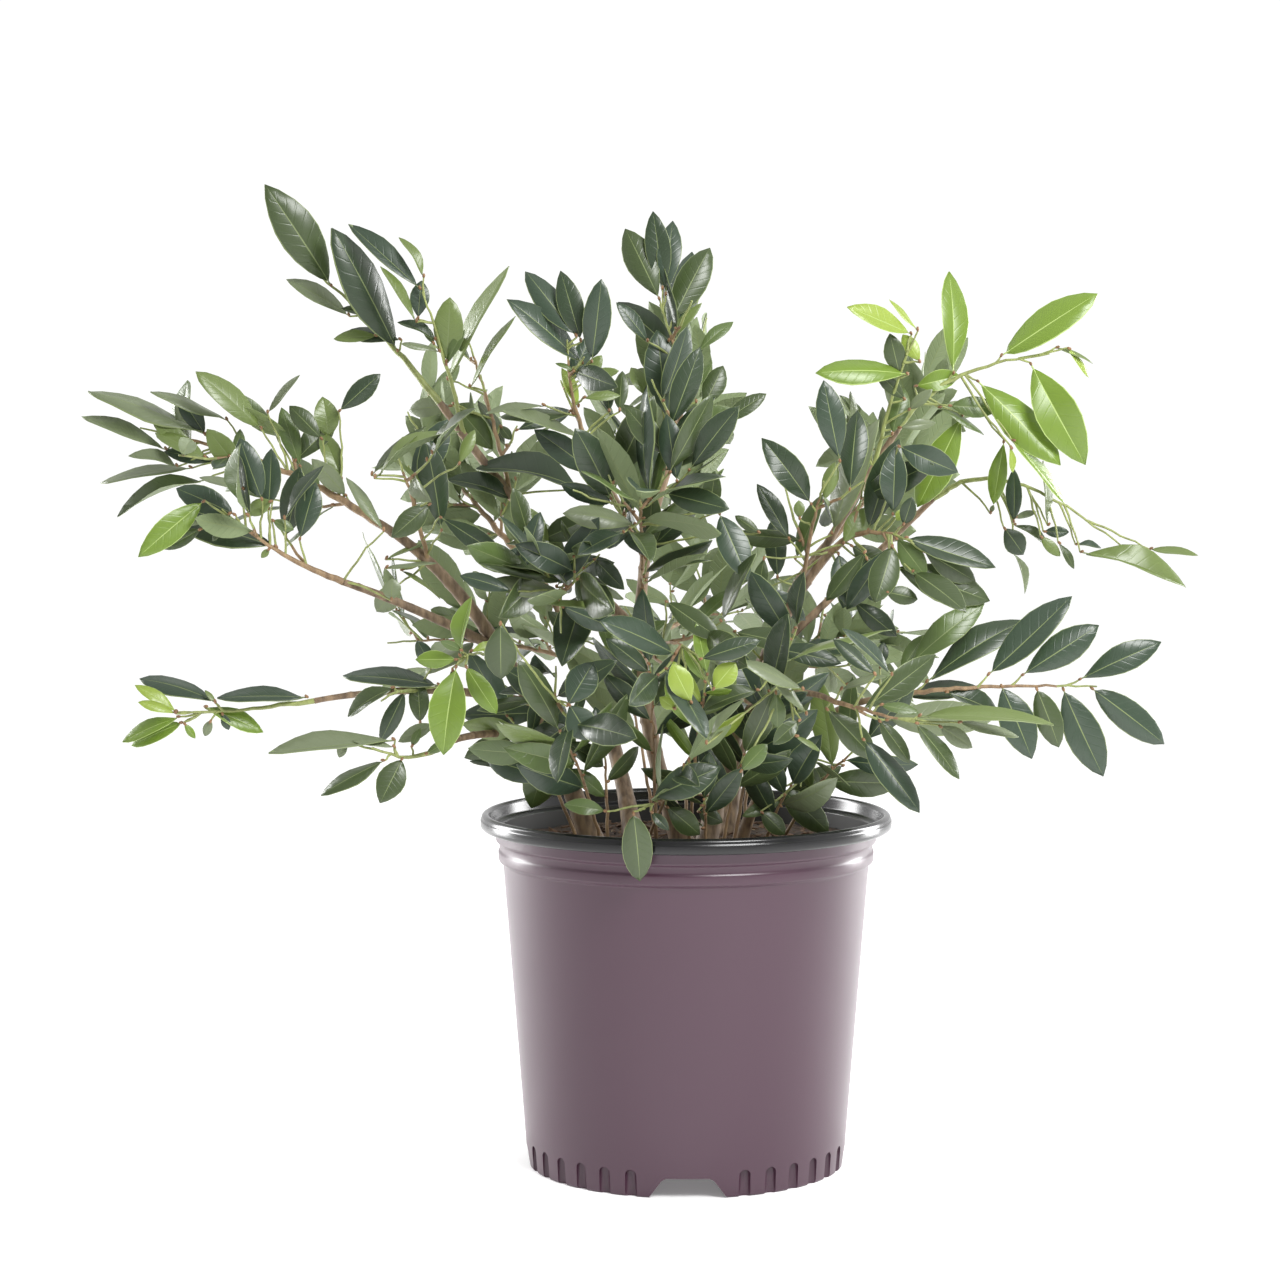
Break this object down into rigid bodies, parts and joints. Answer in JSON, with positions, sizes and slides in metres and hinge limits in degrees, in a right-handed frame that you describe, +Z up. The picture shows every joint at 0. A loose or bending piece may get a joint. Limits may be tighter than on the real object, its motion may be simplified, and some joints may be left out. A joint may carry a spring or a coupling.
{
  "type": "potted evergreen shrub",
  "caption": "Young evergreen shrub with alternate glossy oval leaves on arching twigs, lime at its tips, growing in a round tapered nursery pot with a rolled rim and notched foot.",
  "frame": {"origin": "on the pot's axis, at the flat underside that the pot stands on", "axes": "+Z up along the pot's axis; +X to the right seen from the front, along the crown's widest spread; -Y towards the front, the side that the picture shows"},
  "size_m": [0.7718, 0.5509, 0.6671],
  "materials": {
    "pot_shell": "satin",
    "potting_mix": "rough crumbs of bark",
    "bark": "smooth young bark",
    "leaves_dark": "glossy",
    "leaves_mid": "glossy",
    "leaves_pale": "satin",
    "leaves_lime": "glossy"
  },
  "bodies": {
    "root": {"pot": "pot_shell", "soil": "potting_mix", "stem_left": "bark", "bough_left": "bark", "bough_low_left": "bark", "bough_lowest_left": "bark", "stem_centre": "bark", "bough_centre_left": "bark", "bough_upper_left": "bark", "stem_right": "bark", "bough_right_upper": "bark", "bough_right_low": "bark", "bough_right_front": "bark", "stem_back_right": "bark", "bough_right_far": "bark", "stem_back_left": "bark", "bough_back_low": "bark", "leaves_upper_left": "leaves_dark", "leaves_upper_inner": "leaves_mid", "leaves_upper_mid": "leaves_pale", "leaves_left_top": "leaves_mid", "leaves_left_inner": "leaves_dark", "leaves_left": "leaves_dark", "leaves_low_left": "leaves_mid", "leaves_low_left_inner": "leaves_dark", "leaves_lowest_left": "leaves_dark", "leaves_lime_left": "leaves_lime", "leaves_centre_left": "leaves_dark", "leaves_centre_top": "leaves_dark", "leaves_centre_front": "leaves_dark", "leaves_centre_low": "leaves_dark", "leaves_front_mid": "leaves_dark", "leaves_front_left": "leaves_dark", "leaves_front_low": "leaves_dark", "leaves_front_right": "leaves_dark", "leaves_right_inner": "leaves_dark", "leaves_right_mid": "leaves_dark", "leaves_right_upper": "leaves_lime", "leaves_right_inner_top": "leaves_lime", "leaves_right_far": "leaves_mid", "leaves_right_low": "leaves_dark", "leaves_right_low_inner": "leaves_dark", "leaves_right_front": "leaves_dark", "leaves_back_right": "leaves_dark", "leaves_back_right_low": "leaves_dark", "leaves_back_centre": "leaves_dark", "leaves_back_left": "leaves_dark", "leaves_back_left_low": "leaves_mid", "leaves_back_low": "leaves_dark"}
  },
  "joints": []
}
